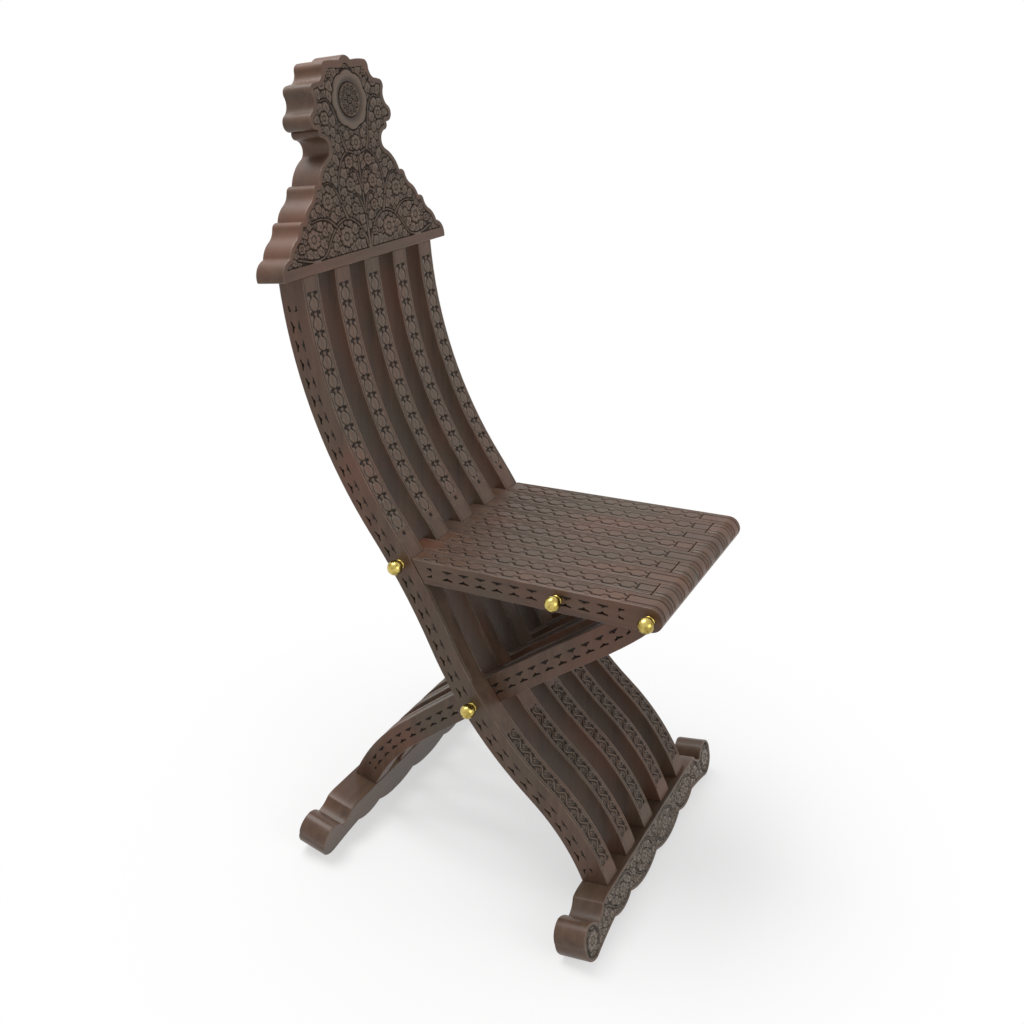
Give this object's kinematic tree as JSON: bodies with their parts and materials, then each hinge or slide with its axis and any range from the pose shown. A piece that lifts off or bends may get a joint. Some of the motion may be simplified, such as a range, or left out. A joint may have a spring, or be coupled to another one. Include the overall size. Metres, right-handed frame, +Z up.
{
  "type": "folding chair",
  "caption": "Folding X-frame side chair of interleaved carved wooden slats, with a scalloped crest board, lobed board feet and brass ball knobs on its right side.",
  "frame": {"origin": "on the floor, below the middle of the whole chair's bounding box", "axes": "+Z up, -Y the way the sitter faces, +X to the sitter's left"},
  "size_m": [0.4588, 0.5358, 1.037],
  "materials": {
    "wood": "dark walnut, satin gloss wax",
    "brass": "polished",
    "steel": "plain drawn rod"
  },
  "bodies": {
    "back_frame": {"back_slat_1": "wood", "back_slat_2": "wood", "back_slat_3": "wood", "back_slat_4": "wood", "back_slat_5": "wood", "crest_board": "wood", "front_foot": "wood", "cross_rod": "steel", "back_rod": "steel", "cross_collar_right": "brass", "cross_knob_right": "brass", "cross_collar_left": "brass", "back_collar_right": "brass", "back_knob_right": "brass", "back_collar_left": "brass"},
    "leg_frame": {"leg_slat_1": "wood", "leg_slat_2": "wood", "leg_slat_3": "wood", "leg_slat_4": "wood", "rear_foot": "wood"},
    "rear_seat": {"rear_seat_slat_1": "wood", "rear_seat_slat_2": "wood", "rear_seat_slat_3": "wood", "rear_seat_slat_4": "wood"},
    "front_seat": {"front_seat_slat_1": "wood", "front_seat_slat_2": "wood", "front_seat_slat_3": "wood", "front_seat_slat_4": "wood", "front_seat_slat_5": "wood", "seat_rod": "steel", "front_rod": "steel", "seat_collar_right": "brass", "seat_knob_right": "brass", "seat_collar_left": "brass", "front_collar_right": "brass", "front_knob_right": "brass", "front_collar_left": "brass"}
  },
  "joints": [
    {"name": "fold", "type": "hinge", "parent": "back_frame", "child": "leg_frame", "pos_m": [0, -0.01988, 0.2735], "axis": [-1, 0, 0], "range_deg": [0, 60]},
    {"name": "rear_seat_fold", "type": "hinge", "parent": "back_frame", "child": "rear_seat", "pos_m": [0, 0.0818, 0.45458], "axis": [-1, 0, 0], "range_deg": [0, 88.34]},
    {"name": "front_seat_fold", "type": "hinge", "parent": "leg_frame", "child": "front_seat", "pos_m": [0, -0.25217, 0.46627], "axis": [-1, 0, 0], "range_deg": [-125.06, 0]}
  ],
  "couplings": [
    {"joint": "rear_seat_fold", "follows": "fold", "ratio": 1.4722},
    {"joint": "front_seat_fold", "follows": "fold", "ratio": -2.0842}
  ]
}
